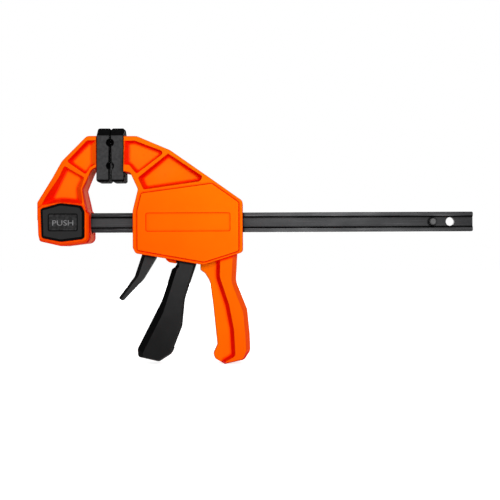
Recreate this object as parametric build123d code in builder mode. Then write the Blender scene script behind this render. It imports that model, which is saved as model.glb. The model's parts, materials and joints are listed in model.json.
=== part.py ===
"""Quick release bar clamp: a fixed jaw locked on a steel bar and a pistol-grip jaw that feeds along it.

Millimetres. X runs along the bar and is the way the moving jaw opens, Z is up from the bar's middle line, and
Y = 0 is the plane in which the mouldings part. X = 0 is where the two pads meet. The front is towards -Y.
"""

import os
from math import cos, radians, sin

from build123d import *

os.makedirs("parts", exist_ok=True)

# ---------------------------------------------------------------- driving dimensions
# Outlines are corners in the XZ plane as (x, z, corner radius). Where an outline has a list of widths, the
# first is that of the wall or slope along the side from its first corner to its second, and so on.

# Clearances
slide_fit = 0.2  # bar in its guides and in the fixed jaw
running_fit = 0.05  # radial, pins in their holes
body_gap = 0.3  # between pieces that move past each other
seat_gap = 0.1  # between a spring's end and its seat
outer_round = 1.0  # rounding of the orange mouldings' outer edges, front and back
inset_rounding = 0.5  # corner radii of a floor or face, as a share of its outline's

pad_back = 11.2  # from the meeting plane to each pad's back, at the arm

# Bar: cold-drawn I-section
bar_height = 16.0
bar_thickness = 6.0
bar_web = 3.6
bar_recess_height = 10.1  # at the mouth
bar_recess_slope = 1.5  # how far each of its walls leans in
bar_left = -49.0
bar_right = 294.8
bar_end_corner = 1.2
bar_edge = 0.4
hang_hole_x = 276.4
hang_hole_radius = 3.5
stop_pin_x = 261.7
stop_pin_radius = 2.7
stop_pin_length = 13.0
stop_pin_chamfer = 0.6

# Fixed jaw
head_half_depth = 17.5
arm_half_depth = 12.0
arm_root_half_depth = 16.4
fixed_flare_low = 15.0
fixed_flare_high = 36.0
pocket_floor = 7.0  # distance of every arm pocket's floor from the parting plane
lower_mouth = 15.0  # level at which the lower pockets' walls start to slope
pad_rim = 0.2  # strip of full depth between a pad and the pocket beside it
fixed_ramp = 4.6  # slope down from that strip to the pocket's floor, on the fixed jaw
moving_ramp = 3.6
head_outline = [
    (-57.9, 11.6, 1.5),
    (-53.5, 14.4, 4.0),
    (-39.0, 16.6, 12.0),
    (-22.2, 14.4, 3.5),
    (-16.4, 7.4, 3.0),
    (-16.4, -16.2, 5.0),
    (-39.0, -19.0, 6.0),
    (-56.2, -15.0, 2.5),
    (-57.2, -10.0, 4.0),
]
head_slopes = [0.4, 0.4, 0.4, 1.4, 2.2, 2.3, 2.3, 0.6, 0.4]
head_slope_depth = 2.3
fixed_arm_outline = [
    (-6.0, 70.0, 0.0),
    (-18.7, 70.0, 5.0),
    (-38.9, 49.8, 12.0),
    (-57.9, 16.2, 2.5),
    (-57.9, 2.0, 0.0),
    (-18.6, 2.0, 0.0),
    (-18.6, 9.2, 4.0),
    (-22.1, 26.8, 4.0),
    (-15.2, 42.3, 4.0),
    (-11.2, 44.7, 3.0),
    (-6.0, 44.7, 0.0),
]
fixed_upper_pocket = [
    (-pad_back - pad_rim, 66.4, 0.0),
    (-18.4, 66.4, 3.0),
    (-34.8, 49.4, 1.5),
    (-19.6, 38.8, 1.5),
    (-15.9, 44.6, 3.0),
    (-pad_back - pad_rim, 47.2, 0.0),
]
fixed_upper_walls = [1.4, 2.1, 1.2, 1.2, 1.2, 1.4]
fixed_lower_pocket = [
    (-38.0, 47.2, 1.5),
    (-18.6, 35.8, 1.5),
    (-22.6, 27.0, 4.0),
    (-21.6, 14.8, 1.0),
    (-39.0, 16.6, 12.0),
    (-54.3, 14.2, 0.8),
]
fixed_lower_walls = [1.4, 5.2, 5.2, 3.2, 3.2, 4.4]

relief_half_width = 7.5
relief_margin = 0.6
relief_depth = 2.4

# Quick release button in the fixed jaw's head
button_x = -38.0
button_outline = [
    (-54.6, 10.9, 2.0),
    (-38.7, 15.3, 10.0),
    (-22.4, 13.2, 3.0),
    (-19.9, 8.6, 3.0),
    (-20.0, -13.0, 2.5),
    (-38.7, -15.3, 8.0),
    (-53.8, -12.2, 2.0),
]
button_gap = 0.35
button_proud = 1.5
button_bevel = 1.0
button_bevel_angle = 60.0
button_plate = 3.6
button_skin = 2.0  # plastic in front of the lock pin's end
button_recess_depth = 6.6
label_width = 24.0
label_height = 14.3
label_corner = 1.6
label_x = -36.8
label_depth = 0.6
lock_radius = 3.9
lock_neck_radius = 2.3
lock_back = 9.2  # the lock pin's rear end at rest
lock_front = -2.3  # where its thick part starts
neck_slot = 5.0
boss_radius = 3.6
boss_length = 5.0
spring_well_radius = 6.4
spring_well_floor = -5.6
washer_radius = 5.4
washer_thickness = 1.0
button_screw_head_radius = 3.4
button_screw_head = 2.2
button_screw_radius = 1.3
button_screw_length = 8.0
button_screw_dome = 0.9
button_spring_radius = 5.1
button_spring_wire = 1.0
button_spring_turns = 4

# Pads
pad_half_depth = 11.6
pad_low = 32.9
pad_high = 77.0
pad_toe = 0.9  # how much further the faces stand apart at the bottom
pad_slope_height = 6.6  # the slopes at the top, front and back
pad_slope_depth = 7.6
pad_foot_round = 2.8
pad_corner = 1.6
pad_lean = 0.4
pad_notch = 2.9  # radius of the half-round notches for pipes and dowels
pad_notch_web = 12.0  # rubber left between a front and a back notch
pad_notch_heights = (45.8, 64.4)
spigot_reach = 7.0
spigot_root = 1.0
spigot_corner = 1.0
spigot_half_depth = 8.0
spigot_low = 47.6
spigot_high = 67.2

# Moving jaw casing
case_half_depth = 16.5
case_flare_low = 31.6
case_flare_high = 60.0
case_wall = 3.0
case_outline = [
    (6.0, 69.8, 0.0),
    (21.4, 69.8, 9.0),
    (48.3, 58.4, 14.0),
    (106.9, 16.9, 4.0),
    (106.9, -24.4, 3.5),
    (75.5, -34.6, 7.0),
    (20.8, -25.0, 3.0),
    (18.6, -20.5, 3.0),
    (18.6, 9.2, 6.0),
    (22.9, 26.6, 4.0),
    (16.6, 40.0, 3.5),
    (6.0, 42.0, 0.0),
]
moving_upper_pocket = [
    (pad_back + pad_rim, 66.2, 0.0),
    (20.4, 66.2, 5.0),
    (44.9, 56.8, 2.4),
    (21.8, 38.9, 1.5),
    (15.5, 46.4, 2.0),
    (pad_back + pad_rim, 46.4, 0.0),
]
moving_upper_walls = [1.5, 1.5, 1.5, 1.5, 1.5, 1.5]
moving_lower_pocket = [
    (47.0, 56.0, 1.2),
    (75.0, 36.5, 1.6),
    (72.6, 32.5, 1.6),
    (27.6, 26.1, 1.5),
    (23.0, 35.7, 1.5),
]
moving_lower_walls = [1.5, 1.8, 2.2, 2.4, 1.5]
upper_mouth_rise = 1.0
panel_rise = 1.0
panel_draft = 35.0
panel_outline = [
    (25.4, 23.6, 2.0),
    (82.5, 31.2, 3.0),
    (104.2, 15.9, 3.0),
    (104.1, -23.7, 2.5),
    (75.8, -32.6, 6.0),
    (21.9, -22.9, 2.0),
    (21.9, 9.0, 5.0),
]
plaque_width = 68.0
plaque_height = 15.2
plaque_corner = 1.5
plaque_depth = 0.5
plaque_x = 63.1
case_cavity_half_depth = 13.5
case_cavity = [
    (26.3, 22.6, 1.0),
    (82.2, 30.2, 1.5),
    (103.9, 14.9, 1.5),
    (103.9, -21.2, 1.5),
    (75.2, -31.4, 4.0),
    (22.8, -22.3, 1.5),
    (21.6, -19.4, 1.5),
    (21.6, 12.9, 1.0),
]
arm_cavity_half_depth = 3.4
arm_cavity = [
    (15.2, 66.2, 1.0),
    (21.0, 66.2, 5.0),
    (46.6, 55.4, 8.0),
    (70.0, 38.4, 1.0),
    (66.0, 34.8, 1.0),
    (29.0, 31.4, 1.0),
    (20.6, 44.0, 1.0),
]

# Pistol grip, part of both casing halves
grip_half_depth = 8.6
grip_low = -28.0  # below this the grip stands clear of the casing
grip_round = 1.2
grip_outline = [
    (72.4, grip_low, 0.0),
    (72.4, -38.6, 1.2),
    (76.2, -41.4, 5.0),
    (80.0, -47.6, 9.0),
    (82.7, -67.5, 60.0),
    (85.9, -98.9, 4.0),
    (82.6, -106.2, 2.5),
    (84.0, -110.4, 3.0),
    (91.8, -115.0, 2.5),
    (107.8, -111.4, 4.5),
    (112.6, -104.0, 5.0),
    (112.2, -92.0, 40.0),
    (110.2, -71.5, 14.0),
    (101.0, -48.0, 8.0),
    (102.3, -24.0, 0.0),
]
band_rise = 4.9
band_foot = [
    (85.6, -22.0, 0.0),
    (85.2, -45.0, 12.0),
    (92.6, -67.6, 20.0),
    (96.4, -87.0, 30.0),
    (97.4, -107.3, 1.5),
    (89.2, -112.3, 0.6),
    (91.8, -115.0, 1.2),
    (107.8, -111.4, 4.5),
    (112.6, -104.0, 5.0),
    (112.2, -92.0, 40.0),
    (110.2, -71.5, 14.0),
    (101.0, -48.0, 8.0),
    (102.3, -22.0, 0.0),
]
band_face = [
    (88.9, -22.0, 0.0),
    (88.4, -44.3, 9.0),
    (95.8, -66.9, 23.0),
    (99.6, -86.6, 27.0),
    (100.7, -108.2, 4.0),
    (92.6, -112.5, 0.4),
    (93.2, -113.5, 0.4),
    (106.7, -110.4, 3.6),
    (109.2, -104.4, 2.4),
    (108.8, -92.2, 37.0),
    (106.8, -72.4, 11.0),
    (97.6, -48.2, 11.0),
    (98.9, -22.0, 0.0),
]
grip_cavity_half_depth = 5.4
grip_cavity = [
    (86.0, -40.0, 1.0),
    (86.0, -52.0, 8.0),
    (90.6, -99.0, 3.0),
    (88.4, -107.6, 1.0),
    (93.0, -110.4, 1.0),
    (104.8, -107.6, 3.0),
    (108.4, -102.0, 3.0),
    (106.2, -73.0, 12.0),
    (96.8, -49.0, 6.0),
    (97.4, -40.0, 1.0),
]
lug_outline = [
    (43.6, -27.4, 0.0),
    (44.8, -30.4, 0.8),
    (47.2, -32.4, 1.5),
    (52.7, -33.4, 0.6),
    (52.7, -29.6, 0.0),
]
lug_half_depth = 9.0

# Casing screws, all one length: (x, z, half depth of the column round each, height of the head's seat)
arm_screw_seat = 8.0
case_screw_seat = 9.5
screw_places = [
    (27.0, 54.8, arm_cavity_half_depth, arm_screw_seat),
    (44.0, 38.6, arm_cavity_half_depth, arm_screw_seat),
    (27.4, 17.4, case_cavity_half_depth, case_screw_seat),
    (97.4, 15.6, case_cavity_half_depth, case_screw_seat),
    (97.4, -17.2, case_cavity_half_depth, case_screw_seat),
    (48.3, -21.4, case_cavity_half_depth, case_screw_seat),
    (91.6, -53.0, grip_cavity_half_depth, arm_screw_seat),
    (99.6, -98.0, grip_cavity_half_depth, arm_screw_seat),
]
pocket_bosses = screw_places[:2]
pocket_boss_top = 11.4
screw_radius = 1.5
screw_head_radius = 3.2
screw_head_height = 2.2
screw_length = 14.0
screw_column = 3.5
screw_well_wall = 1.2
screw_seat_floor = 1.5
cross_length = 3.8
cross_width = 0.9
cross_depth = 1.2

# Bar guides, one in each end wall of the casing
guide_width = 12.0
guide_height = 22.0
guide_flange = 1.5
guide_flange_thickness = 2.0

# Trigger
pivot_x = 62.0
pivot_z = 14.5
pivot_radius = 2.5
pivot_half_length = 15.0
pin_boss_wall = 2.5
hub_radius = 5.6
trigger_half_depth = 12.0
trigger_inner = 9.5
trigger_outline = [
    (56.4, 14.5, 0.0),
    (54.2, -12.0, 8.0),
    (53.3, -33.8, 0.0),
    (51.8, -36.2, 0.6),
    (49.3, -38.0, 1.5),
    (41.3, -63.0, 50.0),
    (21.2, -102.4, 4.0),
    (21.6, -109.0, 2.5),
    (38.7, -112.9, 3.5),
    (48.6, -106.6, 2.0),
    (56.9, -85.6, 10.0),
    (59.2, -63.0, 40.0),
    (69.3, -33.0, 0.0),
    (66.0, -22.0, 2.0),
    (66.0, -9.0, 2.0),
    (71.5, -5.6, 1.5),
    (71.5, -2.4, 1.5),
    (67.6, 4.0, 1.0),
    (67.6, 14.5, 0.0),
]
trigger_slopes = [2.4, 2.4, 3.0, 2.4, 4.2, 5.6, 4.6, 1.4, 1.4, 1.4, 1.4, 1.4, 0, 0, 0, 0, 0, 0, 0]
trigger_slope_depth = 4.5
channel_outline = [
    (80.0, -30.0, 0.0),
    (57.2, -30.0, 1.0),
    (55.0, -38.6, 3.0),
    (46.4, -64.0, 50.0),
    (26.0, -102.6, 3.0),
    (27.0, -106.4, 1.5),
    (38.5, -109.2, 3.0),
    (46.8, -103.9, 0.0),
    (80.0, -92.0, 0.0),
]
fork_bottom = -13.0
fork_half_gap = 4.0
fork_length = 40.0

# Drive plates and their spring
plate_count = 3
plate_thickness = 2.5
plate_gap = 0.3
plate_width = 18.0
plate_corner = 2.0
plate_height = 26.5
drive_left = 71.8
drive_spring_radius = 10.1
drive_spring_wire = 1.6
drive_spring_turns = 5

# Brake plate with its release lever
brake_x = 38.8
brake_z = 22.0
brake_tilt = 10.0
brake_thickness = 3.5
brake_width = 18.0
brake_tail_width = 9.0
brake_shoulder = 38.0
brake_length = 59.5
brake_slot_height = 17.2
brake_seat_width = 9.0
brake_seat_height = 4.0
brake_seat_drop = 0.4
brake_spring_radius = 10.1
brake_spring_wire = 1.4
brake_spring_turns = 3.5
brake_spring_left = 38.9
lever_half_depth = 7.0
lever_outline = [
    (26.6, -20.5, 0.8),
    (24.6, -26.0, 8.0),
    (18.5, -44.0, 9.0),
    (5.2, -61.4, 1.2),
    (8.6, -63.8, 1.0),
    (25.4, -46.4, 20.0),
    (36.3, -28.5, 3.0),
    (35.4, -20.5, 0.8),
]
lever_slopes = [3.2, 3.2, 2.5, 0.6, 0.6, 0.6, 0.6, 0]
lever_slope_depth = 3.5
lever_slot_left = 23.6
lever_slot_right = 44.0
trigger_slot_left = 52.8
trigger_slot_grip = 72.1  # where the grip's neck starts
trigger_slot_right = 85.0
slot_low = -40.0
slot_high = -21.5
rib_x = 50.0
rib_thickness = 2.0
rib_half_height = 12.8

# ---------------------------------------------------------------- worked-out sizes
bar_half = bar_thickness / 2
plate_slot_width = bar_thickness + 2 * body_gap
plate_slot_height = bar_height + 2 * body_gap
drive_right = drive_left + plate_count * plate_thickness + (plate_count - 1) * plate_gap
case_left = case_outline[7][0]
case_right = case_outline[3][0]
head_right = head_outline[4][0]
far = 400.0  # longer than anything here


def rounded_outline(corners):
    """A closed face through (x, z, corner radius) corners."""
    with BuildLine() as loop:
        FilletPolyline(
            *[(x, z) for x, z, _ in corners],
            radius=[radius for _, _, radius in corners],
            close=True,
        )
    make_face(loop.line)


def slab(corners, half_depth, mode=Mode.ADD):
    """An outline carried the same depth to the front and to the back."""
    with BuildSketch(Plane.XZ) as side_view:
        rounded_outline(corners)
    extrude(side_view.sketch, amount=half_depth, both=True, mode=mode)


def inset(corners, widths):
    """An outline with each of its sides moved inwards by a width of its own."""
    following = corners[1:] + corners[:1]
    area = sum(x * next_z - next_x * z for (x, z, _), (next_x, next_z, _) in zip(corners, following))
    moved = []
    for number, (x, z, radius) in enumerate(corners):
        corner = Vector(x, z)
        arriving = (corner - Vector(*corners[number - 1][:2])).normalized()
        leaving = (Vector(*following[number][:2]) - corner).normalized()
        turn = arriving.cross(leaving).Z * (1 if area > 0 else -1)
        place = corner + (leaving * widths[number - 1] - arriving * widths[number]) / turn
        if widths[number - 1] or widths[number]:
            radius *= inset_rounding
        moved.append((place.X, place.Y, radius))
    return moved


def sloped_slab(corners, widths, half_depth, slope_depth):
    """A slab whose sides slope in towards its front and back faces over the last slope_depth."""
    slab(corners, half_depth - slope_depth)
    for side in (1, -1):
        with BuildSketch(Plane.XZ.offset(side * (half_depth - slope_depth))) as foot:
            rounded_outline(corners)
        with BuildSketch(Plane.XZ.offset(side * half_depth)) as face:
            rounded_outline(inset(corners, widths))
        loft([foot.sketch.face(), face.sketch.face()], ruled=True)


def rim(piece):
    """The edges where a piece's front and back faces meet its side walls."""
    ends = [face for face in piece.faces() if abs(face.normal_at(face.center()).Y) > 0.5]
    edges = [edge for face in ends for edge in face.edges()]
    return ShapeList(edge for edge in edges if edges.count(edge) == 1)


def limit_depth(root, tip, low, high):
    """Keeps what lies within a half depth of root below low, thinning evenly to tip above high."""
    edge = [(root, -far), (root, low), (tip, high), (tip, far)]
    with BuildSketch(Plane.YZ.offset(-far / 2)) as end_view:
        with BuildLine() as loop:
            Polyline(*edge, *[(-y, z) for y, z in reversed(edge)], close=True)
        make_face(loop.line)
    extrude(end_view.sketch, amount=far, mode=Mode.INTERSECT)


def pocket(corners, widths, mouth, side):
    """A pocket whose walls slope from the mouth's level to the pocket floor, open above the mouth."""
    with BuildSketch(Plane.XZ.offset(side * mouth)) as opening:
        rounded_outline(corners)
    with BuildSketch(Plane.XZ.offset(side * pocket_floor)) as floor:
        rounded_outline(inset(corners, widths))
    loft([opening.sketch.face(), floor.sketch.face()], ruled=True, mode=Mode.SUBTRACT)
    extrude(opening.sketch, amount=side * far / 10, mode=Mode.SUBTRACT)


def pad_ramp(side, width, low, high):
    """Fills a pocket's end beside the pad with a slope, on the side -1 or 1 of the meeting plane."""
    root = side * pad_back
    top = side * (pad_back + pad_rim)
    foot = top + side * width
    with BuildSketch(Plane.XY.offset(low)) as ramps:
        for face in (1, -1):
            with BuildLine() as loop:
                Polyline(
                    (root, 0),
                    (root, face * arm_half_depth),
                    (top, face * arm_half_depth),
                    (foot, face * pocket_floor),
                    (foot, 0),
                    close=True,
                )
            make_face(loop.line)
    extrude(ramps.sketch, amount=high - low)


def across(x, z, radius, start, end, mode=Mode.ADD):
    """A round bar or hole along Y, from Y = start to Y = end."""
    with BuildSketch(Plane.XZ.offset(-start)) as disc:
        with Locations((x, z)):
            Circle(radius)
    extrude(disc.sketch, amount=start - end, mode=mode)


def block(plane, width, height, amount, centre=(0, 0), corner=0, mode=Mode.ADD):
    """A rectangle on a plane, carried along the plane's normal."""
    with BuildSketch(plane) as end:
        with Locations(centre):
            if corner:
                RectangleRounded(width, height, corner)
            else:
                Rectangle(width, height)
    extrude(end.sketch, amount=amount, mode=mode)


def bar_slot(left, right, clearance):
    """The bar's way through a piece, from X = left to X = right."""
    block(
        Plane.YZ.offset(left),
        bar_thickness + 2 * clearance,
        bar_height + 2 * clearance,
        right - left,
        mode=Mode.SUBTRACT,
    )


def coil(left, length, radius, wire, turns, along):
    """An open coil: a round wire carried along a helix, with its ends a wire's radius inside the length."""
    height = length - wire
    start = Vector(*left) + Vector(*along) * (wire / 2)
    with BuildLine() as path:
        Helix(height / turns, height, radius, center=start, direction=along)
    with BuildSketch(Plane(origin=path.line @ 0, z_dir=path.line % 0)) as wire_end:
        Circle(wire / 2)
    sweep(wire_end.sketch, path=path.line, is_frenet=True)


def spigot(side, depth):
    """Cuts an arm back to a tongue that fills its pad's socket, on the side -1 or 1 of the meeting plane."""
    pad_middle = (side * pad_back / 2, (pad_low + pad_high) / 2)
    cut_height = pad_high - pad_low + 2 * pad_slope_height
    block(Plane.XZ.offset(-depth), pad_back, cut_height, 2 * depth, pad_middle, mode=Mode.SUBTRACT)
    block(
        Plane.YZ.offset(side * (pad_back + spigot_root)),
        2 * spigot_half_depth,
        spigot_high - spigot_low,
        -side * (spigot_reach + spigot_root),
        (0, (spigot_low + spigot_high) / 2),
        spigot_corner,
    )


def save(piece, name):
    """Labels a finished piece and writes its STEP file."""
    piece.part.label = name
    export_step(piece.part, f"parts/{name}.step")


# ---------------------------------------------------------------- bar and stop pin
with BuildPart() as bar:
    mouth = bar_recess_height / 2
    floor = mouth - bar_recess_slope
    with BuildSketch(Plane.YZ.offset(bar_left)) as bar_section:
        Rectangle(bar_thickness, bar_height)
        for side in (1, -1):
            outer, inner = side * bar_half, side * bar_web / 2
            with BuildLine():
                Polyline((outer, mouth), (inner, floor), (inner, -floor), (outer, -mouth), close=True)
            make_face(mode=Mode.SUBTRACT)
        fillet(bar_section.vertices(), bar_edge)
    extrude(amount=bar_right - bar_left)
    with BuildSketch(Plane.XZ) as bar_side:
        with Locations(((bar_left + bar_right) / 2, 0)):
            Rectangle(bar_right - bar_left, bar_height)
        fillet(bar_side.vertices(), bar_end_corner)
    extrude(amount=bar_thickness, both=True, mode=Mode.INTERSECT)
    across(hang_hole_x, 0, hang_hole_radius, -bar_half, bar_half, Mode.SUBTRACT)
    across(stop_pin_x, 0, stop_pin_radius, -bar_half, bar_half, Mode.SUBTRACT)
    # Keyhole for the fixed jaw's lock pin: a round seat with a narrow way out at the bar's end
    across(button_x, 0, lock_radius + running_fit, -bar_half, bar_half, Mode.SUBTRACT)
    keyhole = Plane.XZ.offset(-bar_half)
    keyhole_middle = ((bar_left + button_x) / 2, 0)
    block(keyhole, button_x - bar_left, neck_slot, bar_thickness, keyhole_middle, mode=Mode.SUBTRACT)
save(bar, "bar")

with BuildPart() as stop_pin:
    across(stop_pin_x, 0, stop_pin_radius, -stop_pin_length / 2, stop_pin_length / 2)
    chamfer(stop_pin.edges().filter_by(GeomType.CIRCLE), stop_pin_chamfer)
save(stop_pin, "stop_pin")

# ---------------------------------------------------------------- fixed jaw
button_face = -head_half_depth - button_proud
button_under = button_face + button_plate

with BuildPart() as fixed_arm:
    slab(fixed_arm_outline, head_half_depth)
    limit_depth(arm_root_half_depth, arm_half_depth, fixed_flare_low, fixed_flare_high)
    arm_end = fixed_arm_outline[0][0]
    arm_foot = fixed_arm_outline[5][1]
    arm_rim = rim(fixed_arm).filter_by(lambda edge: edge.center().X < arm_end - seat_gap)
    fillet(arm_rim.filter_by(lambda edge: edge.center().Z > arm_foot + seat_gap), outer_round)

with BuildPart() as fixed_head:
    sloped_slab(head_outline, head_slopes, head_half_depth, head_slope_depth)
    fillet(rim(fixed_head), outer_round)

with BuildPart() as fixed_jaw:
    add(fixed_arm.part)
    add(fixed_head.part)
    for side in (1, -1):
        pocket(fixed_upper_pocket, fixed_upper_walls, arm_half_depth, side)
        pocket(fixed_lower_pocket, fixed_lower_walls, lower_mouth, side)
    pad_ramp(-1, fixed_ramp, fixed_upper_pocket[-1][1], fixed_upper_pocket[0][1])
    spigot(-1, head_half_depth)
    # The bar's socket, with a lens-shaped relief round its mouth
    bar_slot(bar_left - slide_fit, 0, slide_fit)
    with BuildSketch(Plane.YZ.offset(head_right)):
        Ellipse(relief_half_width, bar_height / 2 + slide_fit + relief_margin)
    extrude(amount=-relief_depth, mode=Mode.SUBTRACT)
    # Button recess, spring well, lock pin bore and the retainer's well at the back
    with BuildSketch(Plane.XZ.offset(head_half_depth)):
        rounded_outline(button_outline)
        offset(amount=button_gap)
    extrude(amount=-button_recess_depth, mode=Mode.SUBTRACT)
    across(button_x, 0, spring_well_radius, -head_half_depth, spring_well_floor, Mode.SUBTRACT)
    across(button_x, 0, lock_neck_radius + body_gap, spring_well_floor, 0, Mode.SUBTRACT)
    across(button_x, 0, lock_radius + running_fit, 0, head_half_depth, Mode.SUBTRACT)
    across(button_x, 0, washer_radius + body_gap, lock_back, head_half_depth, Mode.SUBTRACT)
save(fixed_jaw, "fixed_jaw")

# ---------------------------------------------------------------- quick release button
with BuildPart() as release_button:
    with BuildSketch(Plane.XZ.offset(-button_under)):
        rounded_outline(button_outline)
    extrude(amount=button_plate - button_bevel)
    with BuildSketch(Plane.XZ.offset(button_bevel - button_face - 2 * button_bevel)):
        rounded_outline(button_outline)
    extrude(amount=button_bevel, taper=button_bevel_angle)
    face_plane = Plane.XZ.offset(-button_face)
    block(face_plane, label_width, label_height, -label_depth, (label_x, 0), label_corner, Mode.SUBTRACT)
    across(button_x, 0, boss_radius, button_under, button_under + boss_length)
    across(button_x, 0, lock_neck_radius, button_face + button_skin, button_under + boss_length, Mode.SUBTRACT)
save(release_button, "release_button")

with BuildPart() as lock_pin:
    across(button_x, 0, lock_neck_radius, button_face + button_skin, lock_front)
    across(button_x, 0, lock_radius, lock_front, lock_back)
    across(button_x, 0, button_screw_radius, lock_back - button_screw_length, lock_back, Mode.SUBTRACT)
save(lock_pin, "lock_pin")

washer_back = lock_back + washer_thickness
with BuildPart() as button_washer:
    across(button_x, 0, washer_radius, lock_back, washer_back)
    across(button_x, 0, button_screw_radius, lock_back, washer_back, Mode.SUBTRACT)
save(button_washer, "button_washer")

screw_top = washer_back + button_screw_head
with BuildPart() as button_screw:
    across(button_x, 0, button_screw_radius, lock_back - button_screw_length, washer_back)
    across(button_x, 0, button_screw_head_radius, washer_back, screw_top)
    fillet(button_screw.edges().filter_by(GeomType.CIRCLE).sort_by(Axis.Y)[-1], button_screw_dome)
    with BuildSketch(Plane.XZ.offset(-screw_top)):
        with Locations((button_x, 0)):
            Rectangle(cross_length, cross_width)
            Rectangle(cross_width, cross_length)
    extrude(amount=cross_depth, mode=Mode.SUBTRACT)
save(button_screw, "button_screw")

with BuildPart() as button_spring:
    coil(
        (button_x, spring_well_floor - seat_gap, 0),
        spring_well_floor - button_under - 2 * seat_gap,
        button_spring_radius,
        button_spring_wire,
        button_spring_turns,
        (0, -1, 0),
    )
save(button_spring, "button_spring")


# ---------------------------------------------------------------- pads
def pad(side):
    """A rubber cap over an arm's tip, on the side -1 or 1 of the meeting plane."""
    face_top = body_gap / 2
    face_low = face_top + pad_toe
    corners = [
        (side * face_low, pad_low, pad_corner),
        (side * face_top, pad_high, pad_corner),
        (side * (pad_back - pad_lean), pad_high, pad_corner),
        (side * pad_back, pad_low, pad_corner),
    ]
    slab(corners, pad_half_depth)
    # Seen from the bar's end, the top slopes to the front and to the back, and the foot is rounded
    half_view = [
        (pad_half_depth, pad_low, pad_foot_round),
        (pad_half_depth, pad_high - pad_slope_height, pad_corner),
        (pad_half_depth - pad_slope_depth, pad_high, pad_corner),
    ]
    with BuildSketch(Plane.YZ.offset(-far / 2)) as end_view:
        rounded_outline(half_view + [(-y, z, radius) for y, z, radius in reversed(half_view)])
    extrude(end_view.sketch, amount=far, mode=Mode.INTERSECT)
    # Half-round notches, one above the other, go in from the front and from the back
    for height in pad_notch_heights:
        for face in (1, -1):
            across(0, height, pad_notch, face * pad_notch_web / 2, face * pad_half_depth, Mode.SUBTRACT)
    # Socket for the arm's spigot, open at the back
    block(
        Plane.YZ.offset(side * pad_back),
        2 * spigot_half_depth,
        spigot_high - spigot_low,
        -side * spigot_reach,
        (0, (spigot_low + spigot_high) / 2),
        spigot_corner,
        Mode.SUBTRACT,
    )


with BuildPart() as fixed_pad:
    pad(-1)
save(fixed_pad, "fixed_pad")

with BuildPart() as moving_pad:
    pad(1)
save(moving_pad, "moving_pad")

# ---------------------------------------------------------------- moving jaw casing, both halves as one
with BuildPart() as grip:
    slab(grip_outline, grip_half_depth)
    fillet(rim(grip).filter_by(lambda edge: edge.center().Z < grip_low - seat_gap), grip_round)

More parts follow.
